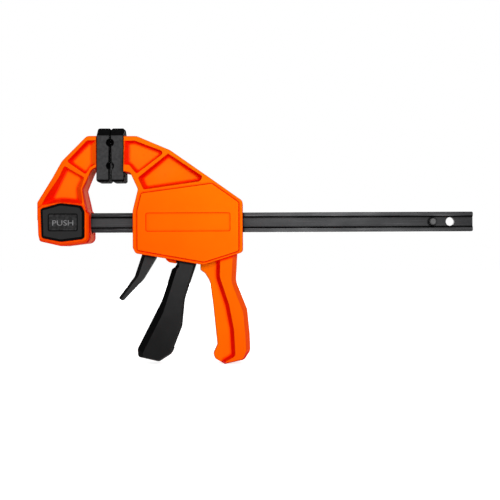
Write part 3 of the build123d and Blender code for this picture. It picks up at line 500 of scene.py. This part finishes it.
# ---------------------------------------------------------------------------------------------
# Bar and stop pin. Cold-drawn steel with a sunk web on both sides, blackened and oiled. The
# plates' grip rubs the flanges brighter and scratches them along the bar.
# ---------------------------------------------------------------------------------------------
web_black = (0.045, 0.0455, 0.047, 1)
# painted shade towards the bar's ends
web_painted_shade = (0.022, 0.022, 0.023, 1)
flange_grey = (0.066, 0.067, 0.069, 1)
flange_painted_shade = (0.024, 0.024, 0.025, 1)
scratch_grey = (0.19, 0.19, 0.195, 1)
# painted shade on the web's side walls and in its corners
groove_painted_shade = (0.001, 0.001, 0.0011, 1)
pin_black = (0.018, 0.018, 0.019, 1)
pin_bloom = (0.034, 0.034, 0.035, 1)
web_face = 1.8 * MM  # distance of the web's faces from the middle plane
flange_face = 3.0 * MM
bar_middle = 160 * MM  # X about which the bar has the least painted shade
web_shade_span = (30 * MM, 130 * MM)  # right of the middle, where the web goes from unshaded to painted shade
flange_shade_span = (20 * MM, 140 * MM)  # from the middle both ways, the same for the flanges


def drawn_bar():
    """Black in the sunk web and greyer on the flanges, darker by painted shade towards the ends and near
    black by painted shade on the web's side walls and in its corners, with long fine scratches along X."""
    finish, tree, place = new_finish("drawn_bar")
    sides = add(tree, "ShaderNodeSeparateXYZ", {0: place}).outputs
    depth = add(tree, "ShaderNodeMath", {0: sides["Y"]}, operation="ABSOLUTE").outputs[0]
    raised = ramp(tree, depth, web_face * 1.2, flange_face * 0.97)
    gap = {0: sides["X"], 1: bar_middle}
    from_middle = add(tree, "ShaderNodeMath", gap, operation="SUBTRACT").outputs[0]
    away = add(tree, "ShaderNodeMath", {0: from_middle}, operation="ABSOLUTE").outputs[0]
    # painted shade towards the ends
    web = blend_colour(tree, ramp(tree, from_middle, *web_shade_span), web_black, web_painted_shade)
    flange = blend_colour(tree, ramp(tree, away, *flange_shade_span), flange_grey, flange_painted_shade)
    flats = blend_colour(tree, raised, web, flange)
    # painted shade on the web's side walls
    body = blend_colour(tree, ramp(tree, facing(tree), 0.8, 0.97, 1.0, 0.0), flats, groove_painted_shade)
    streaks = noise(tree, place, 2600, 3.0, (0.012, 1, 1))
    cuts = ramp(tree, streaks, 0.56, 0.70, 0.0, 0.5)
    rubbed = combine(tree, "MULTIPLY", cuts, ramp(tree, raised, 0, 1, 0.25, 1.0))
    open_body = blend_colour(tree, rubbed, body, scratch_grey)
    # painted shade in the web's corners
    colour = blend_colour(tree, painted_hollow_shade(tree, 2.2 * MM, 0.7, 0.97), open_body, groove_painted_shade)
    oil = ramp(tree, noise(tree, place, 130, 3.0, (0.4, 1, 1)), 0.3, 0.7, 0.34, 0.52)
    gloss = {"Metallic": 0.35, "Specular IOR Level": 0.03}
    close_finish(tree, colour, oil, streaks, 0.04 * MM, gloss)
    return finish


refinish("bar", drawn_bar())


def blackened_pin():
    """Blackened steel, worn a little lighter round the chamfers."""
    finish, tree, place = new_finish("blackened_pin")
    clouds = ramp(tree, noise(tree, place, 600, 3.0), 0.35, 0.65)
    body = blend_colour(tree, clouds, pin_black, pin_bloom)
    colour = blend_colour(tree, open_edges(tree, 0.8 * MM), body, flange_grey)
    satin = ramp(tree, clouds, 0, 1, 0.35, 0.5)
    close_finish(tree, colour, satin, noise(tree, place, 3000), 0.01 * MM)
    return finish


refinish("stop_pin", blackened_pin())

# ---------------------------------------------------------------------------------------------
# Casing. Two orange nylon halves that meet at the parting plane, each with half of the arm, of
# the box round the bar and of the pistol grip with its long raised band.
# ---------------------------------------------------------------------------------------------
# the casing's left-facing walls all keep their painted shade
no_less_shade_walls = 1.0  # an X past the whole clamp
orange = orange_moulding("orange_casing", no_less_shade_walls)
for node in ("front_shell", "rear_shell"):
    refinish(node, orange)

# ---------------------------------------------------------------------------------------------
# Casing screws and bar guides. Eight zinc-plated cross-head screws go in from the back, and two
# black nylon collars in the end walls keep the bar in line.
# ---------------------------------------------------------------------------------------------
refinish("casing_screws", metal)
guide_tops, guide_feet = (0, 0, 0.013), (0, 0, -0.013)
nylon = black_moulding("guide_nylon", label_black, button_black, guide_tops, guide_feet, 0.6)
for node in ("front_guide", "rear_guide"):
    refinish(node, nylon)

# ---------------------------------------------------------------------------------------------
# Trigger and release lever. Black nylon mouldings with well rounded front edges for the
# fingers; the trigger hangs on a plated pin, and the lever is moulded on the brake plate's tail.
# ---------------------------------------------------------------------------------------------
# Painted light: the trigger and lever are lighter towards the top and darker towards the foot and tip.
trigger_painted_lit = (0.031, 0.031, 0.0315, 1)
trigger_painted_dim = (0.0125, 0.0125, 0.0127, 1)
lever_painted_lit = (0.041, 0.041, 0.0415, 1)
lever_painted_dim = (0.034, 0.034, 0.0345, 1)
trigger_light_reach = (0.058, 0, -0.040), (0.036, 0, -0.098)  # the painted light's way, from the casing's edge to the foot
lever_light_reach = (0.028, 0, -0.030), (0.010, 0, -0.060)
refinish("trigger", black_moulding("black_trigger", trigger_painted_lit, trigger_painted_dim, *trigger_light_reach))
refinish("release_lever", black_moulding("black_lever", lever_painted_lit, lever_painted_dim, *lever_light_reach))
refinish("trigger_pin", metal)

# ---------------------------------------------------------------------------------------------
# Drive and brake plates with their springs. Hardened steel plates with ground faces, which grip
# the bar when they tilt; round wire springs push them back.
# ---------------------------------------------------------------------------------------------
plate_bright = (0.38, 0.385, 0.39, 1)
plate_stain = (0.21, 0.20, 0.19, 1)


def ground_plate():
    """Hardened plate ground up and down, with darker heat colour in places."""
    finish, tree, place = new_finish("ground_plate")
    lines = noise(tree, place, 2400, 3.0, (1, 1, 0.03))
    stain = ramp(tree, noise(tree, place, 160, 3.0), 0.35, 0.7)
    colour = blend_colour(tree, stain, plate_bright, plate_stain)
    polish = ramp(tree, lines, 0.3, 0.7, 0.28, 0.45)
    close_finish(tree, colour, polish, lines, 0.02 * MM, {"Metallic": 1.0})
    return finish


plate = ground_plate()
for node in ("drive_plates", "brake_plate"):
    refinish(node, plate)
feed, release = joints["plate_feed"], joints["release_pull"]
shortened_spring("drive_spring", "drive_coil_spring", "moving_jaw", feed)
shortened_spring("brake_spring", "brake_coil_spring", "moving_jaw", release)

# ---------------------------------------------------------------------------------------------
# Studio. A white floor under the grip, a white surround, one large soft lamp in front, a little up
# and to the right, so that left edges and undersides fall darker, and one like it for the back.
# ---------------------------------------------------------------------------------------------
floor_height = cad_bounds[0][2]
floor_half = 3.0
camera_place = (0.1127, -0.730, -0.02266)
camera_roll = 0.24
camera_lens = 64.1
lamp_aim = (0.10, 0, 0)
lamp_front = (0.40, -1.65, 0.32)
lamp_back = (-0.20, 1.65, 0.32)
lamp_size = 1.2
lamp_power = 21
floor_white = (0.86, 0.86, 0.86, 1)
floor_glow = 0.75
surround_slope = (0.6, 0.0, 0.8)  # the way in which the surround turns lighter
surround_greys = (0.22, 0.46)  # at the lower left and at the upper right


def lamp(name, place):
    """A square soft lamp at place, turned to the clamp."""
    light = bpy.data.lights.new(name, "AREA")
    light.size = lamp_size
    light.energy = lamp_power
    stand = bpy.data.objects.new(name, light)
    bpy.context.scene.collection.objects.link(stand)
    stand.location = place
    stand.rotation_euler = (Vector(lamp_aim) - Vector(place)).to_track_quat("-Z", "Y").to_euler()


def white_floor():
    """Diffuse white that shows pure white to the camera where it is lit, and keeps a faint shadow."""
    finish, tree, place = new_finish("white_floor")
    lit = add(tree, "ShaderNodeBsdfDiffuse", {"Color": floor_white})
    rays = add(tree, "ShaderNodeLightPath").outputs
    seen = combine(tree, "ADD", rays["Is Camera Ray"], rays["Is Glossy Ray"])
    strength = ramp(tree, seen, 0, 1, 0, floor_glow)
    glow = add(tree, "ShaderNodeEmission", {"Color": (1, 1, 1, 1), "Strength": strength})
    both = add(tree, "ShaderNodeAddShader", {0: lit.outputs[0], 1: glow.outputs[0]})
    add(tree, "ShaderNodeOutputMaterial", {"Surface": both.outputs[0]})
    return finish


def white_surround():
    """A world that is plain white to the camera and in reflections, and lights the clamp with a
    grey that rises from the lower left to the upper right."""
    world = bpy.data.worlds.new("surround")
    world.use_nodes = True
    tree = world.node_tree
    tree.nodes.clear()
    way = add(tree, "ShaderNodeTexCoord").outputs["Generated"]
    rise = add(tree, "ShaderNodeVectorMath", {0: way, 1: surround_slope}, operation="DOT_PRODUCT")
    grey = ramp(tree, rise.outputs["Value"], -0.9, 0.9, *surround_greys)
    rays = add(tree, "ShaderNodeLightPath").outputs
    gloss = combine(tree, "ADD", rays["Is Glossy Ray"], rays["Is Transmission Ray"])
    plain = combine(tree, "ADD", rays["Is Camera Ray"], gloss)
    strength = add(tree, "ShaderNodeMix", {0: plain, 2: grey, 3: 1.0}, data_type="FLOAT").outputs[0]
    sky = add(tree, "ShaderNodeBackground", {"Color": (1, 1, 1, 1), "Strength": strength})
    add(tree, "ShaderNodeOutputWorld", {"Surface": sky.outputs[0]})
    bpy.context.scene.world = world


near, far = -floor_half, floor_half
corners = [(x, y, floor_height) for x, y in ((near, near), (far, near), (far, far), (near, far))]
ground = bpy.data.meshes.new("floor")
ground.from_pydata(corners, [], [(0, 1, 2, 3)])
ground.materials.append(white_floor())
floor = bpy.data.objects.new("floor", ground)
bpy.context.scene.collection.objects.link(floor)
white_surround()
lamp("soft_lamp_front", lamp_front)
lamp("soft_lamp_back", lamp_back)

lens = bpy.data.cameras.new("camera")
lens.lens = camera_lens
eye = bpy.data.objects.new("camera", lens)
bpy.context.scene.collection.objects.link(eye)
eye.location = camera_place
eye.rotation_euler = (radians(90), radians(camera_roll), 0)
bpy.context.scene.camera = eye
bpy.context.scene.view_settings.view_transform = "Standard"
